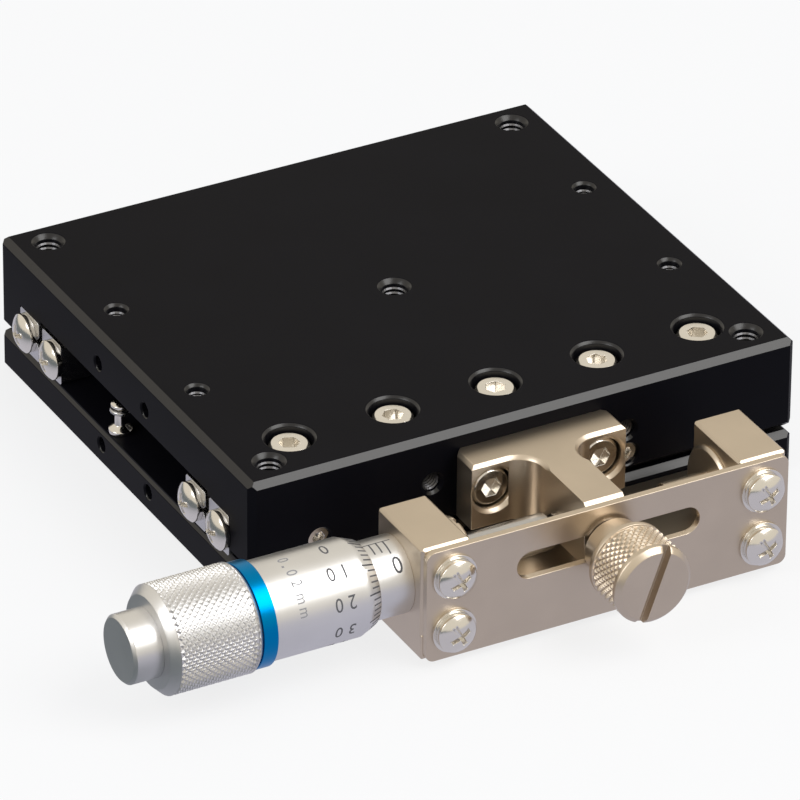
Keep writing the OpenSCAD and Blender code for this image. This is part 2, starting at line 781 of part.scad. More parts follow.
module cage(y) {
    l = roller_count * roller_pitch + 1;
    window = roller_len + 1.02 * roller_d;
    color(steel)
        difference() {
            translate([-l / 2, y - cage_t / 2, way_z - cage_h / 2]) cube([l, cage_t, cage_h]);
            for (i = [0 : roller_count - 1])
                translate([(i - (roller_count - 1) / 2) * roller_pitch, y, way_z])
                    cube([roller_d + 2 * window_fit, 2 * cage_t, window / sqrt(2) + 2 * window_fit], center = true);
        }
}

// Crossed rollers: each one's axis is square to the next one's
module rollers(y) {
    color(bright)
        at_rollers(y) cylinder(d = roller_d, h = roller_len, center = true);
}

module cage_front() { cage(-way_y); }
module rollers_front() { rollers(-way_y); }
module cage_rear() { cage(way_y); }
module rollers_rear() { rollers(way_y); }

// ---- Table: the moving half of the stage ----

// Cross-section of the table in (y, z): a top with a wall down each side
module table_section() {
    polygon([[front, table_z0], [-outer_back - preload_gap, table_z0], [-outer_back - preload_gap, table_under],
             [-relief_y, table_under], [-relief_y, relief_z], [relief_y, relief_z], [relief_y, table_under],
             [outer_back, table_under], [outer_back, table_z0], [-front, table_z0], [-front, stage_z], [front, stage_z]]);
}

module table() {
    top_t = stage_z - table_under;
    color(black)
        difference() {
            intersection() {
                translate([0, 0, table_z0])
                    chamfered_block(stage_x, stage_y, stage_z - table_z0, edge_chamfer);
                rotate([90, 0, 90]) linear_extrude(stage_x, center = true) table_section();
            }
            // corner and centre holes
            for (x = [-1, 1], y = [-1, 1])
                translate([x * corner_pitch_x / 2, y * corner_pitch_y / 2, stage_z])
                    tapped_hole(m4_tap_d, top_t + 1, m4_sink_d);
            translate([0, 0, stage_z]) tapped_hole(m4_tap_d, stage_z, m4_sink_d);
            // small holes beside the ends
            for (x = [-1, 1], y = [-1, 1])
                translate([x * corner_pitch_x / 2, y * side_pitch_y / 2, stage_z])
                    tapped_hole(m3_tap_d, top_t + 1, m3_d + 0.4);
            // counterbores of the front rail's screws
            for (x = rail_screw_x) {
                translate([x, -outer_screw_y, front_seat_z])
                    counterbore(m3_clear_d, m3_bore_d, stage_z, stage_z - front_seat_z, 0.4);
                translate([x, outer_screw_y, table_under])
                    rotate([180, 0, 0]) tapped_hole(m2_clear_d, rear_thread_l + hole_spare, m2_clear_d);
                // preload screws through the front wall
                translate([x, front, way_z])
                    rotate([90, 0, 0]) tapped_hole(m3_thread_d, wall_t, m3_d + 0.6);
            }
            // holes in the end faces
            end_holes((relief_z + stage_z) / 2 - 1, -end_shift_y);
            // holes of the drive arm, and the spare pair beside it
            for (s = [-1, 1]) {
                translate([drive_x + s * arm_pitch / 2, front, arm_screw_z])
                    rotate([90, 0, 0]) tapped_hole(m3_thread_d, arm_thread_l + hole_spare, m3_thread_d);
                translate([drive_x + s * spare_pitch / 2, front, arm_screw_z])
                    rotate([90, 0, 0]) tapped_hole(m3_tap_d, spare_depth, m3_d + 0.4);
            }
            translate([post_right, spring_y, relief_z]) rotate([180, 0, 0]) post_hole();
        }
}

module outer_rail_front() {
    color(steel)
        translate([0, -outer_back, rail_z]) tapped_rail();
}

module outer_rail_rear() {
    color(steel)
        translate([0, outer_back, rail_z + rail_h]) rotate([180, 0, 0]) counterbored_rail();
}

module front_rail_screws() {
    color(bright)
        for (x = rail_screw_x)
            translate([x, -outer_screw_y, front_seat_z])
                rotate([0, 0, 12 * x / rail_pitch])
                    cap_screw(m3_d, m3_head_d, m3_head_h, m3_socket, front_seat_z - table_under + rail_h - 1);
}

module rear_rail_screws() {
    color(bright)
        for (x = rail_screw_x)
            translate([x, outer_screw_y, rail_z + m2_head_h + 0.2])
                rotate([180, 0, 0])
                    cap_screw(m2_d, m2_head_d, m2_head_h, m2_socket, rail_h - m2_head_h - 0.2 + rear_thread_l);
}

module outer_rail_end_screws() {
    for (s = [-1, 1]) rail_end_screws(s * (outer_back - rail_end_back));
}

// Socket set screws that push the front outer rail against the rollers
module preload_screws() {
    l = wall_t - 0.5;
    color(bright)
        for (x = rail_screw_x)
            translate([x, -outer_back, way_z])
                difference() {
                    rod_y(m3_d, l);
                    translate([0, -l + 1.2, 0]) rotate([90, 0, 0]) cylinder(d = 1.5 / cos(30), h = 2, $fn = 6);
                }
}

// Plan of the drive arm in (x, y): a head on the table's wall and a stem out to the front plate
module arm_plan() {
    w = arm_head_w / 2;
    s = arm_stem_w / 2;
    difference() {
        union() {
            polygon([[-w, head_y], [w, head_y], [w, front - arm_corner], [w - arm_corner, front],
                     [arm_corner - w, front], [-w, front - arm_corner]]);
            translate([-s, arm_y1]) square([2 * s, head_y - arm_y1 + 1]);
            translate([-s - arm_fillet, head_y - arm_fillet]) square([2 * (s + arm_fillet), arm_fillet + 1]);
        }
        for (k = [-1, 1]) translate([k * (s + arm_fillet), head_y - arm_fillet]) circle(arm_fillet);
    }
}

// A bar of square section, turned on edge, that cuts a chamfer along X or Y
module edge_cut(l) {
    rotate([45, 0, 0]) cube([l, arm_edge * sqrt(2), arm_edge * sqrt(2)], center = true);
}

module drive_arm() {
    h = arm_top - arm_z0;
    fillet_x = arm_stem_w / 2 + arm_fillet;
    flat_l = arm_head_w / 2 - fillet_x;
    color(nickel)
        difference() {
            translate([drive_x, 0, arm_z0]) linear_extrude(h) arm_plan();
            for (s = [-1, 1]) {
                translate([drive_x + s * arm_pitch / 2, front - arm_seat, arm_screw_z])
                    rotate([90, 0, 0])
                        counterbore(m3_clear_d, m3_bore_d - 0.4, arm_seat + eps, arm_head_t - arm_seat, arm_edge);
                // bright chamfers on the top edges: beside the fillets, and round them
                translate([drive_x + s * (fillet_x + flat_l / 2 + 1), head_y, arm_top]) edge_cut(flat_l + 2);
                translate([drive_x + s * fillet_x, head_y - arm_fillet, arm_top - arm_edge])
                    cylinder(r1 = arm_fillet, r2 = arm_fillet + arm_edge + eps, h = arm_edge + eps);
                translate([drive_x + s * arm_head_w / 2, front - arm_head_t / 2, arm_top])
                    rotate([0, 0, 90]) edge_cut(arm_head_t + 2);
            }
            translate([drive_x, arm_y1, arm_top]) edge_cut(arm_stem_w + 2);
            translate([stem_left - eps, mic_y, mic_z]) rod_x(pad_root_d + 2 * seat_fit, pad_root_l + 0.3);
            translate([drive_x, arm_y1 - eps, slot_z]) rotate([-90, 0, 0])
                cylinder(d = m3_thread_d, h = clamp_thread_l + clamp_gap + 0.2);
        }
}

module arm_screws() {
    color(bright)
        for (s = [-1, 1])
            translate([drive_x + s * arm_pitch / 2, front - arm_seat, arm_screw_z])
                rotate([90, 0, 0]) cap_screw(m3_d, m3_head_d, m3_head_h, m3_socket, arm_seat + arm_thread_l);
}

// A hardened button in the stem, where the spindle's ball pushes
module drive_pad() {
    color(steel)
        translate([stem_left, mic_y, mic_z]) {
            translate([-pad_l, 0, 0]) rod_x(pad_d, pad_l);
            translate([-eps, 0, 0]) rod_x(pad_root_d, pad_root_l);
        }
}

// ---- Clamp: a washer and a thumb screw through the plate's slot into the arm ----

module clamp_washer() {
    color(bright)
        translate([drive_x, plate_y - plate_t - clamp_gap, slot_z])
            difference() {
                rod_y(washer_d + 0.6, washer_t);
                translate([0, eps, 0]) rod_y(m3_thread_d, washer_t + 2 * eps);
            }
}

module clamp_screw() {
    y0 = plate_y - plate_t - clamp_gap - washer_t - seat_fit;
    reach = arm_y1 - y0;
    c = 0.7;
    color(nickel)
        translate([drive_x, y0, slot_z])
            difference() {
                union() {
                    rotate([90, 0, 0])
                        rotate_extrude()
                            polygon([[0, 0], [clamp_neck_d / 2, 0], [clamp_neck_d / 2, clamp_neck_l],
                                     [clamp_head_d / 2 - c, clamp_neck_l], [clamp_head_d / 2, clamp_neck_l + c],
                                     [clamp_head_d / 2, clamp_neck_l + clamp_head_l - c],
                                     [clamp_head_d / 2 - c, clamp_neck_l + clamp_head_l],
                                     [0, clamp_neck_l + clamp_head_l]]);
                    rotate([-90, 0, 0]) cylinder(d = m3_d, h = reach + clamp_thread_l);
                }
                translate([0, -clamp_neck_l - clamp_head_l, 0])
                    rotate([0, -clamp_slot_turn, 0])
                        cube([2 * clamp_head_d, 2 * clamp_slot_depth, clamp_slot_w], center = true);
            }
}

// ---- Return spring: it pulls the table back against the spindle ----

// A spring post: a pin with a collar at its seat and a small head that keeps the hook on
module spring_post() {
    rotate_extrude()
        polygon([[0, -post_root + 0.2], [post_d / 2, -post_root + 0.2], [post_d / 2, 0], [post_d, 0],
                 [post_d, 0.6], [post_d / 2, 1.2], [post_d / 2, post_reach - 0.9], [post_d * 0.8, post_reach - 0.6],
                 [post_d * 0.8, post_reach - 0.3], [post_d / 2, post_reach], [0, post_reach]]);
}

module base_spring_post() {
    color(bright)
        translate([post_left, spring_y, rail_z]) spring_post();
}

module table_spring_post() {
    color(bright)
        translate([post_right, spring_y, relief_z]) rotate([180, 0, 0]) spring_post();
}

// The close-wound coils as a tube, with a wire hook round each post
module return_spring() {
    hook = post_d / 2 + wire_d / 2 + 0.05;
    shank = 2.4;
    body_l = spring_l - 2 * (hook + shank);
    color(steel)
        translate([(post_left + post_right) / 2, spring_y, spring_z]) {
            rotate([0, 90, 0])
                difference() {
                    cylinder(d = spring_d, h = body_l, center = true);
                    cylinder(d = spring_d - 2 * wire_d, h = body_l + 1, center = true);
                }
            for (s = [-1, 1]) {
                translate([s * spring_l / 2, 0, 0])
                    rotate([0, 0, s > 0 ? -150 : 30]) rotate_extrude(angle = 300)
                        translate([hook, 0]) circle(d = wire_d);
                translate([s * (body_l / 2 + shank / 2 - 0.05), 0, 0])
                    rotate([0, 90, 0]) cylinder(d = wire_d, h = shank + 0.4, center = true);
                translate([s * (body_l / 2 - wire_d / 2), 0, 0])
                    rotate([0, 90, 0]) cylinder(d = spring_d - wire_d, h = wire_d, center = true);
            }
        }
}

base_plate();
inner_rail_front();
inner_rail_rear();
inner_rail_screws();
inner_rail_end_screws();
bracket();
bracket_screws();
front_plate();
plate_washers();
plate_screws();
stop_plug();
micrometer_sleeve();
sleeve_nut();
base_spring_post();
return_spring();
cage_front();
rollers_front();
cage_rear();
rollers_rear();
table();
outer_rail_front();
outer_rail_rear();
front_rail_screws();
rear_rail_screws();
outer_rail_end_screws();
preload_screws();
table_spring_post();
drive_arm();
arm_screws();
drive_pad();
clamp_washer();
clamp_screw();
spindle_ball();
spindle();
thimble();
colour_ring();
knurled_grip();
end_knob();
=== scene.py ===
"""A crossed-roller linear stage of black aluminium, with a micrometer head and a clamp on its front."""
import math

import bmesh
import bpy
from mathutils import Matrix, Vector


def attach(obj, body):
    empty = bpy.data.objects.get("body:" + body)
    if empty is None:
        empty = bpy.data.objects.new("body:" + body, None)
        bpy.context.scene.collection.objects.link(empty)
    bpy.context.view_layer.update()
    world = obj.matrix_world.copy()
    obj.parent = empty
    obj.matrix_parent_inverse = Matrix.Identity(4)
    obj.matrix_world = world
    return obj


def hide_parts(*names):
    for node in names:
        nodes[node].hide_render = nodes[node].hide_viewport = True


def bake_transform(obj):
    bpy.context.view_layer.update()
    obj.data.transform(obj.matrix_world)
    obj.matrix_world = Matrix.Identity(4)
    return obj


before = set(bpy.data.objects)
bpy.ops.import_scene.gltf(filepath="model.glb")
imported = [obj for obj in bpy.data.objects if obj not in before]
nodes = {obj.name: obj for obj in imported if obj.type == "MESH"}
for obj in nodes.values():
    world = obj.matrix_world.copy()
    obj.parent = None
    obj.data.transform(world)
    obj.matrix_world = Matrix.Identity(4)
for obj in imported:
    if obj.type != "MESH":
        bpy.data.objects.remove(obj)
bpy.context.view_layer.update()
MM = 0.001

# ---- Camera, floor and light ----
# The stage stands on a white table top, under a wide soft lamp from the front and above and a weaker
# one from the left. Its metal mirrors a warm pale wall, cool grey paper and, at the left, a dark card.

camera = bpy.data.cameras.new("camera")
camera.sensor_width = 36
camera.lens = 398.65
camera.clip_end = 20
viewpoint = bpy.data.objects.new("camera", camera)
viewpoint.location = (-0.47994, -0.88261, 0.60404)
viewpoint.rotation_euler = [math.radians(a) for a in (59.0916, -0.4545, -28.3142)]
bpy.context.collection.objects.link(viewpoint)
bpy.context.scene.camera = viewpoint
bpy.context.scene.view_settings.view_transform = "Standard"


def shader_tree(name):
    """A new material, its node tree and its output node."""
    material = bpy.data.materials.new(name)
    material.use_nodes = True
    tree = material.node_tree
    tree.nodes.clear()
    return material, tree, tree.nodes.new("ShaderNodeOutputMaterial")


def add_node(tree, kind, inputs=(), **settings):
    """Adds a node, sets its options, and sets or links each of its inputs."""
    made = tree.nodes.new(kind)
    for key, value in settings.items():
        setattr(made, key, value)
    for key, value in dict(inputs).items():
        if isinstance(value, bpy.types.NodeSocket):
            tree.links.new(value, made.inputs[key])
        else:
            made.inputs[key].default_value = value
    return made


card_from, card_to = -75 * MM, -45 * MM      # where the mirrored card gives way to the paper, along X
card_grey, paper_grey = (0.17, 0.19, 0.20, 1), (0.56, 0.55, 0.62, 1)


def floor_paper():
    """White paper: it takes a faint shadow. Metal mirrors it as cool grey, and as a dark card at the left."""
    material, tree, output = shader_tree("floor_paper")
    rays = add_node(tree, "ShaderNodeLightPath")
    paper = add_node(tree, "ShaderNodeBsdfDiffuse", {"Color": (0.8, 0.8, 0.8, 1)})
    glow = add_node(tree, "ShaderNodeEmission", {"Color": (1, 1, 1, 1), "Strength": 1.0})
    seen = add_node(tree, "ShaderNodeMixShader", {"Fac": 0.8, 1: paper.outputs[0], 2: glow.outputs[0]})
    place = add_node(tree, "ShaderNodeTexCoord")
    across = add_node(tree, "ShaderNodeSeparateXYZ", {0: place.outputs["Object"]})
    card = add_node(tree, "ShaderNodeMapRange", {
        "Value": across.outputs["X"], "From Min": card_from, "From Max": card_to},
        interpolation_type="SMOOTHSTEP")
    shade = add_node(tree, "ShaderNodeMix", {
        0: card.outputs[0], 6: card_grey, 7: paper_grey}, data_type="RGBA")
    mirrored = add_node(tree, "ShaderNodeEmission", {"Color": shade.outputs[2], "Strength": 1.0})
    by_camera = add_node(tree, "ShaderNodeMixShader", {
        "Fac": rays.outputs["Is Camera Ray"], 1: paper.outputs[0], 2: seen.outputs[0]})
    by_gloss = add_node(tree, "ShaderNodeMixShader", {
        "Fac": rays.outputs["Is Glossy Ray"], 1: by_camera.outputs[0], 2: mirrored.outputs[0]})
    tree.links.new(by_gloss.outputs[0], output.inputs["Surface"])
    return material


floor_mesh = bpy.data.meshes.new("floor")
floor_half = 4.0
floor_mesh.from_pydata([(-floor_half, -floor_half, 0), (floor_half, -floor_half, 0),
                        (floor_half, floor_half, 0), (-floor_half, floor_half, 0)], [], [(0, 1, 2, 3)])
floor_mesh.materials.append(floor_paper())
floor = bpy.data.objects.new("floor", floor_mesh)
floor.location.z = -0.05 * MM
bpy.context.collection.objects.link(floor)

world = bpy.data.worlds.new("studio")
world.use_nodes = True
sky = world.node_tree
sky.nodes.clear()
sky_rays = add_node(sky, "ShaderNodeLightPath")
fill_light = add_node(sky, "ShaderNodeBackground", {"Color": (0.93, 0.95, 1.0, 1), "Strength": 0.55})
wall_mirrored = add_node(sky, "ShaderNodeBackground", {"Color": (1.0, 0.93, 0.80, 1), "Strength": 0.80})
white_wall = add_node(sky, "ShaderNodeBackground", {"Color": (1, 1, 1, 1), "Strength": 1.0})
sky_gloss = add_node(sky, "ShaderNodeMixShader", {
    "Fac": sky_rays.outputs["Is Glossy Ray"], 1: fill_light.outputs[0], 2: wall_mirrored.outputs[0]})
sky_camera = add_node(sky, "ShaderNodeMixShader", {
    "Fac": sky_rays.outputs["Is Camera Ray"], 1: sky_gloss.outputs[0], 2: white_wall.outputs[0]})
add_node(sky, "ShaderNodeOutputWorld", {"Surface": sky_camera.outputs[0]})
bpy.context.scene.world = world


def soft_lamp(name, place, aim, size, watts, colour=(1, 1, 1)):
    """A square area lamp at place that shines at aim."""
    lamp = bpy.data.lights.new(name, "AREA")
    lamp.size = size
    lamp.energy = watts
    lamp.color = colour
    holder = bpy.data.objects.new(name, lamp)
    holder.location = place
    holder.rotation_euler = (Vector(aim) - Vector(place)).to_track_quat("-Z", "Y").to_euler()
    bpy.context.collection.objects.link(holder)


soft_lamp("key_lamp", (0.45, -0.55, 0.85), (0, -0.02, 0), 0.75, 6.5)
soft_lamp("left_lamp", (-0.9, -0.1, 0.6), (0, -0.02, 0), 0.5, 3.0, (0.95, 0.97, 1.0))

# ---- Base and table ----
# Two milled aluminium blocks, bead-blasted and black anodised. The table slides on the base, and
# their edges are chamfered or slightly rounded.


def object_place(tree, scale=(1, 1, 1), turn=(0, 0, 0)):
    """Object coordinates, scaled and turned, for a pattern that stays on its piece."""
    where = add_node(tree, "ShaderNodeTexCoord")
    return add_node(tree, "ShaderNodeMapping",
                    {"Vector": where.outputs["Object"], "Scale": scale, "Rotation": turn}).outputs[0]


def between(tree, factor, low, high):
    """A value that runs from low to high as factor runs from 0 to 1."""
    return add_node(tree, "ShaderNodeMapRange", {"Value": factor, "To Min": low, "To Max": high}).outputs[0]


def tint(tree, factor, first, second):
    """A colour between two, by factor."""
    return add_node(tree, "ShaderNodeMix", {
        0: factor, 6: (*first, 1), 7: (*second, 1)}, data_type="RGBA").outputs[2]


def maths(tree, operation, *values):
    """The result of one Math node."""
    return add_node(tree, "ShaderNodeMath", enumerate(values), operation=operation).outputs[0]


def noise(tree, scale, detail):
    """A noise pattern fixed to the piece. scale is in patches to the metre."""
    return add_node(tree, "ShaderNodeTexNoise", {
        "Vector": object_place(tree), "Scale": scale, "Detail": detail}).outputs[0]


chamfer_steepness, chamfer_spread = 0.707, 0.12     # the Z part of a 45-degree face's normal
wall_steepness = 0.3                                # a wall's normal has a smaller Z part than this
outline_half = (39.5 * MM, 35.5 * MM)               # 0.5 mm inside the block's outer faces


def anodised_black():
    """Black anodised aluminium: a fine blasted grain, and faint cloudy patches in its gloss."""
    material, tree, output = shader_tree("anodised_black")
    grain = noise(tree, 5200.0, 2.0)
    cloud = noise(tree, 90.0, 3.0)
    bump = add_node(tree, "ShaderNodeBump", {"Height": grain, "Strength": 0.18, "Distance": 0.04 * MM})
    # The chamfers and the walls inside the block's outline are shown smoother than the blasted faces.
    true_normal = add_node(tree, "ShaderNodeNewGeometry").outputs["True Normal"]
    steep = maths(tree, "ABSOLUTE", add_node(tree, "ShaderNodeSeparateXYZ", {0: true_normal}).outputs[2])
    chamfer = maths(tree, "COMPARE", steep, chamfer_steepness, chamfer_spread)
    from_middle = add_node(tree, "ShaderNodeVectorMath", {0: object_place(tree)}, operation="ABSOLUTE")
    place = add_node(tree, "ShaderNodeSeparateXYZ", {0: from_middle.outputs[0]})
    inside_x = maths(tree, "LESS_THAN", place.outputs[0], outline_half[0])
    inside_y = maths(tree, "LESS_THAN", place.outputs[1], outline_half[1])
    upright = maths(tree, "LESS_THAN", steep, wall_steepness)
    wall = maths(tree, "MULTIPLY", maths(tree, "MULTIPLY", inside_x, inside_y), upright)
    smooth_cut = maths(tree, "MAXIMUM", chamfer, wall)
    surface = add_node(tree, "ShaderNodeBsdfPrincipled", {
        "Base Color": tint(tree, cloud, (0.0025, 0.0025, 0.0042), (0.0045, 0.0045, 0.0068)),
        "Roughness": between(tree, smooth_cut, 0.46, 0.30),
        "Specular IOR Level": between(tree, smooth_cut, 0.05, 0.55), "Normal": bump.outputs[0]})
    tree.links.new(surface.outputs[0], output.inputs["Surface"])
    return material


def round_off_tree():
    """Geometry Nodes that close a CAD mesh's seams and shade it smooth, before its edges are rounded."""
    tree = bpy.data.node_groups.new("round_off", "GeometryNodeTree")
    tree.interface.new_socket("Geometry", in_out="INPUT", socket_type="NodeSocketGeometry")
    tree.interface.new_socket("Geometry", in_out="OUTPUT", socket_type="NodeSocketGeometry")
    source = add_node(tree, "NodeGroupInput")
    closed = add_node(tree, "GeometryNodeMergeByDistance", {
        "Geometry": source.outputs[0], "Distance": 0.001 * MM})
    smooth = add_node(tree, "GeometryNodeSetShadeSmooth", {
        "Geometry": closed.outputs[0], "Shade Smooth": True})
    add_node(tree, "NodeGroupOutput", {0: smooth.outputs[0]})
    return tree


round_off = round_off_tree()


def finish_node(name, material, edge, node=None):
    """Gives a CAD node, or a piece made from one, its material and a small rounded edge in metres."""
    node = node or nodes[name]
    node.data.materials.clear()
    node.data.materials.append(material)
    seams = node.modifiers.new("seams", "NODES")
    seams.node_group = round_off
    flats = node.modifiers.new("flats", "DECIMATE")
    flats.decimate_type = "DISSOLVE"
    flats.angle_limit = math.radians(0.4)
    rounding = node.modifiers.new("rounding", "BEVEL")
    rounding.width = edge
    rounding.segments = 2
    rounding.limit_method = "ANGLE"
    rounding.angle_limit = math.radians(32)
    rounding.use_clamp_overlap = False
    shading = node.modifiers.new("shading", "WEIGHTED_NORMAL")
    shading.keep_sharp = False


black = anodised_black()
for name in ("base_plate", "table"):
    finish_node(name, black, 0.06 * MM)

# ---- Threads ----
# The crests in the table's tapped holes, in bare metal: rings that stand in for the helix, 0.7 mm
# apart in the M4 holes and 0.5 mm apart in the M3 holes. Their crests stand a little inside the wall.


def around_shaft_tree():
    """Geometry Nodes that set an item in rows round the X axis. Each row is turned by a share of a step."""
    tree = bpy.data.node_groups.new("around_shaft", "GeometryNodeTree")
    for label, kind in (("Item", "Object"), ("Rows", "Int"), ("Per Row", "Int"), ("Radius", "Float"),
                        ("Pitch", "Float"), ("Stagger", "Float"), ("Material", "Material")):
        tree.interface.new_socket(label, in_out="INPUT", socket_type="NodeSocket" + kind)
    tree.interface.new_socket("Geometry", in_out="OUTPUT", socket_type="NodeSocketGeometry")
    asked = add_node(tree, "NodeGroupInput").outputs

    index = add_node(tree, "GeometryNodeInputIndex").outputs[0]
    row = maths(tree, "FLOOR", maths(tree, "DIVIDE", maths(tree, "ADD", index, 0.5), asked["Per Row"]))
    step = maths(tree, "ADD", index, maths(tree, "MULTIPLY", row, asked["Stagger"]))
    angle = maths(tree, "MULTIPLY", maths(tree, "DIVIDE", step, asked["Per Row"]), math.tau)
    other_way = maths(tree, "MULTIPLY", asked["Radius"], -1.0)
    place = add_node(tree, "ShaderNodeCombineXYZ", {
        0: maths(tree, "MULTIPLY", row, asked["Pitch"]),
        1: maths(tree, "MULTIPLY", maths(tree, "SINE", angle), other_way),
        2: maths(tree, "MULTIPLY", maths(tree, "COSINE", angle), asked["Radius"])})
    turn = add_node(tree, "ShaderNodeCombineXYZ", {0: angle})
    points = add_node(tree, "GeometryNodePoints", {
        "Count": maths(tree, "MULTIPLY", asked["Rows"], asked["Per Row"]), "Position": place.outputs[0]})
    item = add_node(tree, "GeometryNodeObjectInfo", {"Object": asked["Item"]})
    placed = add_node(tree, "GeometryNodeInstanceOnPoints", {
        "Points": points.outputs[0], "Instance": item.outputs["Geometry"], "Rotation": turn.outputs[0]})
    solid = add_node(tree, "GeometryNodeRealizeInstances", {"Geometry": placed.outputs[0]})
    coated = add_node(tree, "GeometryNodeSetMaterial", {
        "Geometry": solid.outputs[0], "Material": asked["Material"]})
    add_node(tree, "NodeGroupOutput", {0: coated.outputs[0]})
    return tree


around_shaft = around_shaft_tree()


def set_round(item, rows, per_row, radius, pitch, stagger, material, place):
    """A mesh of one item set round a shaft by around_shaft, and then moved by the matrix place."""
    shape = bpy.data.objects.new("item", item)
    holder = bpy.data.objects.new("layout", bpy.data.meshes.new("layout"))
    bpy.context.collection.objects.link(holder)
    layout = holder.modifiers.new("layout", "NODES")
    layout.node_group = around_shaft
    wanted = {"Item": shape, "Rows": rows, "Per Row": per_row, "Radius": radius, "Pitch": pitch,
              "Stagger": stagger, "Material": material}
    for socket in around_shaft.interface.items_tree:
        if socket.in_out == "INPUT":
            layout[socket.identifier] = wanted[socket.name]
    mesh = bpy.data.meshes.new_from_object(holder.evaluated_get(bpy.context.evaluated_depsgraph_get()))
    holder.modifiers.remove(layout)
    bpy.data.objects.remove(holder)
    bpy.data.objects.remove(shape)
    mesh.transform(place)
    return mesh


def ring_item(outer, inner, width):
    """A ring round the X axis with a three-cornered section, its crest on the inside."""
    shape = bmesh.new()
    sides = 24
    rings = [[shape.verts.new((x, r * math.sin(a), r * math.cos(a)))
              for x, r in ((-width / 2, outer), (width / 2, outer), (0, inner))]
             for a in (math.tau * k / sides for k in range(sides))]
    for k, ring in enumerate(rings):
        after = rings[(k + 1) % sides]
        for j in range(3):
            following = (j + 1) % 3
            shape.faces.new((ring[j], ring[following], after[following], after[j]))
    bmesh.ops.recalc_face_normals(shape, faces=shape.faces)
    mesh = bpy.data.meshes.new("ring")
    shape.to_mesh(mesh)
    return mesh


def one_piece(name, meshes, material, body):
    """One object from several meshes, in its material, riding on a body."""
    whole = bmesh.new()
    for part in meshes:
        whole.from_mesh(part)
    mesh = bpy.data.meshes.new(name)
    whole.to_mesh(mesh)
    mesh.materials.clear()
    mesh.materials.append(material)
    mesh.polygons.foreach_set("material_index", [0] * len(mesh.polygons))
    piece = bpy.data.objects.new(name, mesh)
    bpy.context.collection.objects.link(piece)
    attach(piece, body)
    return piece


def bare_metal():
    """Cut aluminium in the threads: grey, with fine turning marks."""
    material, tree, output = shader_tree("bare_metal")
    marks = noise(tree, 4000.0, 2.0)
    surface = add_node(tree, "ShaderNodeBsdfPrincipled", {
        "Base Color": tint(tree, marks, (0.10, 0.10, 0.11), (0.22, 0.22, 0.23)),
        "Metallic": 1.0, "Roughness": between(tree, marks, 0.3, 0.5)})
    tree.links.new(surface.outputs[0], output.inputs["Surface"])
    return material


thread_metal = bare_metal()
into_top = Matrix.Rotation(math.radians(90), 4, "Y")        # turns the X axis to point down
into_front = Matrix.Rotation(math.radians(90), 4, "Z")      # turns the X axis to point along +Y
m4_wall, m3_wall = 1.65 * MM, 1.25 * MM                     # the tapped holes' radii
m4_pitch, m3_pitch = 0.7 * MM, 0.5 * MM
root_depth, crest_height = 0.03 * MM, 0.16 * MM             # beyond the wall and inside it
corner_holes = [(x, y) for x in (-35 * MM, 35 * MM) for y in (-31.5 * MM, 31.5 * MM)]
side_holes = [(x, y) for x in (-35 * MM, 35 * MM) for y in (-11.5 * MM, 11.5 * MM)]
first_crest = 18.7 * MM
crests = []
for wall, pitch, rows, places in ((m4_wall, m4_pitch, 9, corner_holes + [(0, 0)]),
                                  (m3_wall, m3_pitch, 10, side_holes)):
    crest = ring_item(wall + root_depth, wall - crest_height, 0.45 * MM)
    for x, y in places:
        place = Matrix.Translation((x, y, first_crest)) @ into_top
        crests.append(set_round(crest, rows, 1, 0.0, pitch, 0.0, thread_metal, place))
crest = ring_item(m3_wall + root_depth, m3_wall - crest_height, 0.4 * MM)
for x in (-13.75 * MM, 14.75 * MM):
    place = Matrix.Translation((x, -35 * MM, 13 * MM)) @ into_front
    crests.append(set_round(crest, 8, 1, 0.0, m3_pitch, 0.0, thread_metal, place))
one_piece("table_threads", crests, thread_metal, "table_body")

# ---- Rails, cages and rollers ----
# Hardened and ground steel rails, fixed back to back, with a row of crossed rollers between
# each pair in a thin steel cage.


def ground_metal(name, colour, roughness, lines, turn=(0, 0, 0)):
    """Metal with fine lines left by grinding along its length. lines is the bump's strength."""
    material, tree, output = shader_tree(name)
    place = object_place(tree, (300, 9000, 9000), turn)
    streak = add_node(tree, "ShaderNodeTexNoise", {"Vector": place, "Scale": 1.0, "Detail": 3.0})
    cloud = noise(tree, 160.0, 2.0)
    bump = add_node(tree, "ShaderNodeBump", {
        "Height": streak.outputs[0], "Strength": lines, "Distance": 0.03 * MM})
    dull = [c * 0.86 for c in colour]
    surface = add_node(tree, "ShaderNodeBsdfPrincipled", {
        "Base Color": tint(tree, cloud, dull, colour), "Metallic": 1.0,
        "Roughness": between(tree, streak.outputs[0], roughness - 0.05, roughness + 0.05),
        "Normal": bump.outputs[0]})
    tree.links.new(surface.outputs[0], output.inputs["Surface"])
    return material


steel = ground_metal("ground_steel", (0.60, 0.60, 0.61), 0.24, 0.06)
for name in ("inner_rail_front", "inner_rail_rear", "outer_rail_front", "outer_rail_rear",
             "cage_front", "cage_rear", "rollers_front", "rollers_rear", "drive_pad", "spindle_ball",
             "spindle"):
    finish_node(name, steel, 0.03 * MM)

# ---- Return spring ----
# A close-wound tension spring of 0.6 mm steel wire, 4.4 mm across, with a hook round a post at each
# end: one post is in the base and the other in the table, so it stretches as the table moves.

wire = 0.6 * MM
coil_radius = 1.9 * MM
hook_radius = 1.15 * MM
left_post, right_post = Vector((-38.3 * MM, 4 * MM, 9.6 * MM)), Vector((25.7 * MM, 4 * MM, 9.6 * MM))
hook_reach = 3.6 * MM
coil_start, coil_end = left_post.x + hook_reach, right_post.x - hook_reach
wires_a_turn = 1.06     # the coil's pitch, about, in wire diameters
turns = round((coil_end - coil_start) / (wire * wires_a_turn))
steps_a_turn = 14
coil_steps = turns * steps_a_turn


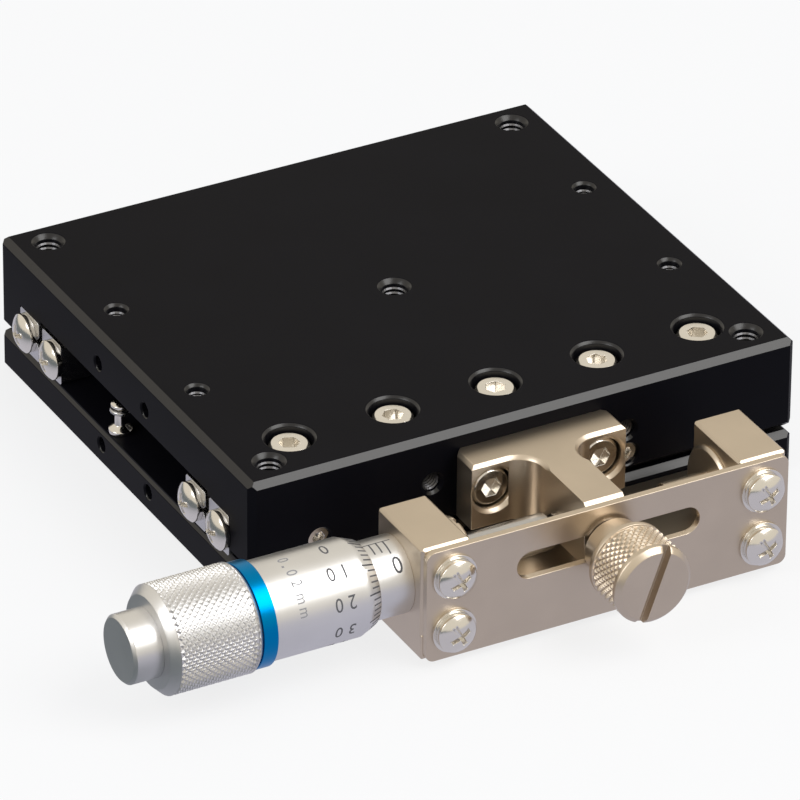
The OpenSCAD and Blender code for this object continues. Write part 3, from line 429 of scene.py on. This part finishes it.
def hook(post, first):
    """Points every 15 degrees of a 300-degree hook round a post, clockwise from an angle in degrees."""
    angles = [math.radians(first - 15 * k) for k in range(21)]
    return [post + Vector((math.cos(a), math.sin(a), 0)) * hook_radius for a in angles]


route = hook(left_post, -30)[::-1]
for k in range(coil_steps + 1):
    a = math.tau * k / steps_a_turn
    half_turns_in = min(k, coil_steps - k) / (steps_a_turn / 2)
    reach = coil_radius * min(1.0, half_turns_in)
    x = coil_start + (coil_end - coil_start) * k / coil_steps
    route.append(Vector((x, left_post.y + reach * math.sin(a), left_post.z + reach * math.cos(a))))
route += hook(right_post, 150)
wire_curve = bpy.data.curves.new("return_coil", "CURVE")
wire_curve.dimensions = "3D"
wire_curve.bevel_depth = wire / 2
wire_curve.bevel_resolution = 1
wire_curve.use_fill_caps = True
spline = wire_curve.splines.new("POLY")
spline.points.add(len(route) - 1)
for point, place in zip(spline.points, route):
    point.co = (*place, 1)
wound = bpy.data.objects.new("return_coil", wire_curve)
bpy.context.collection.objects.link(wound)
coil_mesh = bpy.data.meshes.new_from_object(wound.evaluated_get(bpy.context.evaluated_depsgraph_get()))
bpy.data.objects.remove(wound)
coil_mesh.materials.clear()
coil_mesh.materials.append(steel)
coil_mesh.polygons.foreach_set("use_smooth", [True] * len(coil_mesh.polygons))
return_coil = bpy.data.objects.new("return_coil", coil_mesh)
bpy.context.collection.objects.link(return_coil)
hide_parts("return_spring")
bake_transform(return_coil)

# ---- Screws and washers ----
# Steel screws, washers and spring posts with a bright nickel plate.

bright_plate = ground_metal("bright_plate", (0.86, 0.83, 0.78), 0.17, 0.02)
for name in ("inner_rail_screws", "inner_rail_end_screws", "outer_rail_end_screws", "front_rail_screws",
             "rear_rail_screws", "preload_screws", "bracket_screws", "plate_screws", "plate_washers",
             "arm_screws", "clamp_washer", "base_spring_post", "table_spring_post"):
    finish_node(name, bright_plate, 0.05 * MM)

# ---- Bracket, plate and drive arm ----
# Milled aluminium with a satin nickel plate.

satin_nickel = ground_metal("satin_nickel", (0.68, 0.585, 0.475), 0.34, 0.05)
for name in ("bracket", "front_plate", "drive_arm", "stop_plug", "sleeve_nut"):
    finish_node(name, satin_nickel, 0.08 * MM)

# ---- Clamp screw ----
# A turned screw with a diamond-knurled head, 11 mm across, and a slot in its end. Tightened, it
# presses the washer on the plate and locks the table.


def undercut(name, axis, centre, start, end, depth, least):
    """A copy of a turned CAD piece whose wall, farther out than least, is cut back between two planes."""
    shape = bmesh.new()
    shape.from_mesh(nodes[name].data)
    bmesh.ops.remove_doubles(shape, verts=shape.verts, dist=1e-6)
    step = 0.04 * MM
    for place in (start, start + step, end - step, end):
        on_plane, square_to = Vector(centre), Vector((0, 0, 0))
        on_plane[axis], square_to[axis] = place, 1
        bmesh.ops.bisect_plane(shape, geom=shape.verts[:] + shape.edges[:] + shape.faces[:], dist=1e-7,
                               plane_co=on_plane, plane_no=square_to)
    for vert in shape.verts:
        out = vert.co - Vector(centre)
        out[axis] = 0
        if start + step / 2 < vert.co[axis] < end - step / 2 and out.length > least:
            vert.co -= out.normalized() * depth
    mesh = bpy.data.meshes.new(name + "_turned")
    shape.to_mesh(mesh)
    piece = bpy.data.objects.new(name + "_turned", mesh)
    bpy.context.collection.objects.link(piece)
    return piece


def knurl_point(along, around, height):
    """One point of a diamond knurl: a four-sided pyramid with a small flat top, sunk a little at its foot."""
    shape = bmesh.new()
    corners = ((1, 0), (0, 1), (-1, 0), (0, -1))
    tip_share = 0.3
    foot = [shape.verts.new((x * along, y * around, -0.04 * MM)) for x, y in corners]
    tip = [shape.verts.new((x * along * tip_share, y * around * tip_share, height)) for x, y in corners]
    shape.faces.new(tip)
    shape.faces.new(foot[::-1])
    for k in range(4):
        shape.faces.new((foot[k], foot[(k + 1) % 4], tip[(k + 1) % 4], tip[k]))
    mesh = bpy.data.meshes.new("knurl_point")
    shape.to_mesh(mesh)
    return mesh


head_axis = (0.5 * MM, 0, 11.4 * MM)
head_radius = 5.5 * MM
knurl_depth = 0.3 * MM
head_from, head_to = -67.2 * MM, -62.0 * MM
clamp_head = undercut("clamp_screw", 1, head_axis, head_from, head_to, knurl_depth, 5.3 * MM)
finish_node("clamp_screw", satin_nickel, 0.08 * MM, clamp_head)
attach(clamp_head, "clamp")
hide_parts("clamp_screw")
head_rows, head_points = 9, 34
head_pitch = (head_to - head_from) / (head_rows + 1)
foot_radius = head_radius - knurl_depth
first_row = Matrix.Translation((head_axis[0], head_to - head_pitch, head_axis[2]))
out_of_plate = Matrix.Rotation(math.radians(-90), 4, "Z")       # turns the X axis to point along -Y
head_point = knurl_point(head_pitch, math.pi * foot_radius / head_points, knurl_depth)
head_knurl = set_round(head_point, head_rows, head_points, foot_radius, head_pitch, 0.5, satin_nickel,
                       first_row @ out_of_plate)
one_piece("clamp_knurl", [head_knurl], satin_nickel, "clamp")

# ---- Micrometer ----
# Turned steel parts with a satin chrome plate, and a blue anodised ring.

satin_chrome = ground_metal("satin_chrome", (0.80, 0.80, 0.81), 0.36, 0.03)
for name in ("micrometer_sleeve", "thimble", "end_knob"):
    finish_node(name, satin_chrome, 0.05 * MM)

blue = ground_metal("blue_anodised", (0.0, 0.25, 0.60), 0.3, 0.02)
finish_node("colour_ring", blue, 0.05 * MM)

# ---- Knurled grip ----
# The grip's wall is cut back for a diamond knurl of 48 points a row; a smooth rim is left at each end.

mic_axis = (0, -48.8 * MM, 10.2 * MM)
grip_radius = 7.25 * MM
grip_from, grip_to = -59.95 * MM, -48.9 * MM
grip = undercut("knurled_grip", 0, mic_axis, grip_from, grip_to, knurl_depth, 7.0 * MM)
finish_node("knurled_grip", satin_chrome, 0.05 * MM, grip)
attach(grip, "thimble_body")
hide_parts("knurled_grip")
grip_rows, grip_points = 21, 48
grip_pitch = (grip_to - grip_from) / (grip_rows + 1)
foot_radius = grip_radius - knurl_depth
grip_point = knurl_point(grip_pitch, math.pi * foot_radius / grip_points, knurl_depth)
first_row = Matrix.Translation((grip_from + grip_pitch, mic_axis[1], mic_axis[2]))
grip_knurl = set_round(grip_point, grip_rows, grip_points, foot_radius, grip_pitch, 0.5, satin_chrome,
                       first_row)
one_piece("grip_knurl", [grip_knurl], satin_chrome, "thimble_body")

# ---- Micrometer's scales ----
# Painted lines and figures. The thimble has 50 divisions with a figure at every fifth, and "0.02 mm"
# round it in fainter paint: the value of one division at 1 mm a turn. The sleeve has a datum line and
# a line at each millimetre.


def scale_paint(name, colour):
    """Paint for a scale's lines and figures, a little uneven."""
    material, tree, output = shader_tree(name)
    patches = noise(tree, 3000.0, 2.0)
    surface = add_node(tree, "ShaderNodeBsdfPrincipled", {
        "Base Color": tint(tree, patches, [c * 0.7 for c in colour], colour),
        "Roughness": between(tree, patches, 0.5, 0.7)})
    tree.links.new(surface.outputs[0], output.inputs["Surface"])
    return material


figure_narrowing = 0.86
dark_paint = scale_paint("dark_paint", (0.11, 0.11, 0.12))
worn_paint = scale_paint("worn_paint", (0.34, 0.34, 0.35))
paint_proud = 0.012 * MM
paint_sunk = 0.05 * MM


def bevel_line(length, width, slope):
    """A painted line on the thimble's bevel, from its edge towards the knob."""
    shape = bmesh.new()
    start = 0.1 * MM
    run = length * math.cos(slope)
    for x in (-start, -start - run):
        for y in (-width / 2, width / 2):
            for z in (-paint_sunk, paint_proud):
                shape.verts.new((x, y, z - x * math.tan(slope)))
    bmesh.ops.convex_hull(shape, input=shape.verts[:])
    bmesh.ops.recalc_face_normals(shape, faces=shape.faces)
    mesh = bpy.data.meshes.new("bevel_line")
    shape.to_mesh(mesh)
    return mesh


def on_drum(shape, radius, centre_x, turn, run_round):
    """Lays a flat figure on a drum round the micrometer's axis. Text runs to the knob, or round the drum."""
    side = Vector((1, 0, 0)) if run_round else Vector((0, 1, 0))
    bend_step, bend_reach = 0.3 * MM, 3 * MM
    steps = round(bend_reach / bend_step)
    for k in range(-steps, steps + 1):
        bmesh.ops.bisect_plane(shape, geom=shape.verts[:] + shape.edges[:] + shape.faces[:], dist=1e-7,
                               plane_co=side * (bend_step * k), plane_no=side)
    for vert in shape.verts:
        along, across = (vert.co.y, vert.co.x) if run_round else (-vert.co.x, vert.co.y)
        a = turn + across / radius
        r = radius + vert.co.z
        vert.co = (centre_x + along, mic_axis[1] - r * math.sin(a), mic_axis[2] + r * math.cos(a))
    bmesh.ops.recalc_face_normals(shape, faces=shape.faces)
    mesh = bpy.data.meshes.new("on_drum")
    shape.to_mesh(mesh)
    return mesh


def flat_figure(text, height):
    """A figure as a thin flat solid, centred at the origin and height tall."""
    letters = bpy.data.curves.new("letters", "FONT")
    letters.body = text
    letters.align_x = "CENTER"
    letters.resolution_u = 3
    holder = bpy.data.objects.new("letters", letters)
    bpy.context.collection.objects.link(holder)
    flat = bpy.data.meshes.new_from_object(holder.evaluated_get(bpy.context.evaluated_depsgraph_get()))
    bpy.data.objects.remove(holder)
    shape = bmesh.new()
    shape.from_mesh(flat)
    bmesh.ops.remove_doubles(shape, verts=shape.verts, dist=1e-5)
    lifted = bmesh.ops.extrude_face_region(shape, geom=shape.faces[:])["geom"]
    for vert in (v for v in lifted if isinstance(v, bmesh.types.BMVert)):
        vert.co.z += 1
    low = min(v.co.y for v in shape.verts)
    tall = max(v.co.y for v in shape.verts) - low
    left = min(v.co.x for v in shape.verts)
    wide = max(v.co.x for v in shape.verts) - left
    size = height / tall
    for vert in shape.verts:
        vert.co.x = (vert.co.x - left - wide / 2) * size * figure_narrowing
        vert.co.y = (vert.co.y - low - tall / 2) * size
        vert.co.z = paint_proud if vert.co.z > 0.5 else -paint_sunk
    return shape


def flat_bar(length, width):
    """A thin flat bar, centred at the origin: length along X, width along Y."""
    shape = bmesh.new()
    for x in (-length / 2, length / 2):
        for y in (-width / 2, width / 2):
            for z in (-paint_sunk, paint_proud):
                shape.verts.new((x, y, z))
    bmesh.ops.convex_hull(shape, input=shape.verts[:])
    return shape


thimble_edge = -31.0 * MM
edge_radius, thimble_radius, bevel_run = 5.65 * MM, 6.55 * MM, 2.2 * MM
bevel_slope = math.atan2(thimble_radius - edge_radius, bevel_run)
at_edge = Matrix.Translation((thimble_edge, mic_axis[1], mic_axis[2]))
line_width = 0.2 * MM
short_line, long_line = 1.25 * MM, 1.95 * MM
thimble_marks = []
for length, count in ((short_line, 50), (long_line, 10)):
    line = bevel_line(length, line_width, bevel_slope)
    thimble_marks.append(set_round(line, 1, count, edge_radius, 0.0, 0.0, dark_paint, at_edge))


def figures_along(text, height, spacing, radius, centre_x, turn):
    """A number's figures on a drum, side by side towards the knob, centred at centre_x."""
    return [on_drum(flat_figure(character, height), radius, centre_x + (len(text) - 1 - 2 * k) * spacing / 2,
                    turn, False)
            for k, character in enumerate(text)]


figure_height, figure_spacing = 1.9 * MM, 1.9 * MM
figures_x = -36.4 * MM
for figure in range(10):
    thimble_marks += figures_along(str(figure * 10), figure_height, figure_spacing, thimble_radius, figures_x,
                                   math.radians(36 * figure + 1))
one_piece("thimble_marks", thimble_marks, dark_paint, "thimble_body")
zeros_x, letters_x, point_x = -42.1 * MM, -42.35 * MM, -42.75 * MM       # their feet nearly line up
unit_marks = [on_drum(flat_figure(character, 1.5 * MM), thimble_radius, zeros_x, math.radians(turn), True)
              for character, turn in (("0", 0), ("0", 22), ("2", 36))]
unit_marks += [on_drum(flat_figure("m", 1.0 * MM), thimble_radius, letters_x, math.radians(turn), True)
               for turn in (54, 70)]
unit_marks.append(on_drum(flat_bar(0.3 * MM, 0.3 * MM), thimble_radius, point_x, math.radians(11), True))
one_piece("thimble_unit", unit_marks, worn_paint, "thimble_body")

sleeve_radius = 5.2 * MM
datum_turn = math.radians(-1)
zero_line = -27.92 * MM
fifth_reach, tick_reach = 2.4 * MM, 1.95 * MM
datum_length, datum_width, datum_middle = 14.2 * MM, 0.14 * MM, -34.0 * MM
sleeve_marks = [on_drum(flat_bar(datum_length, datum_width), sleeve_radius, datum_middle, datum_turn, False)]
for k in range(14):
    reach = fifth_reach if k % 5 == 0 else tick_reach
    sleeve_marks.append(on_drum(flat_bar(line_width, reach), sleeve_radius, zero_line - k * MM,
                                datum_turn + reach / 2 / sleeve_radius, False))
sleeve_height, sleeve_spacing, sleeve_turn = 2.3 * MM, 1.7 * MM, math.radians(44)
for text, place_x in (("0", -27.7 * MM), ("5", -32.92 * MM), ("10", -37.92 * MM)):
    sleeve_marks += figures_along(text, sleeve_height, sleeve_spacing, sleeve_radius, place_x, sleeve_turn)
one_piece("sleeve_marks", sleeve_marks, dark_paint, "base")
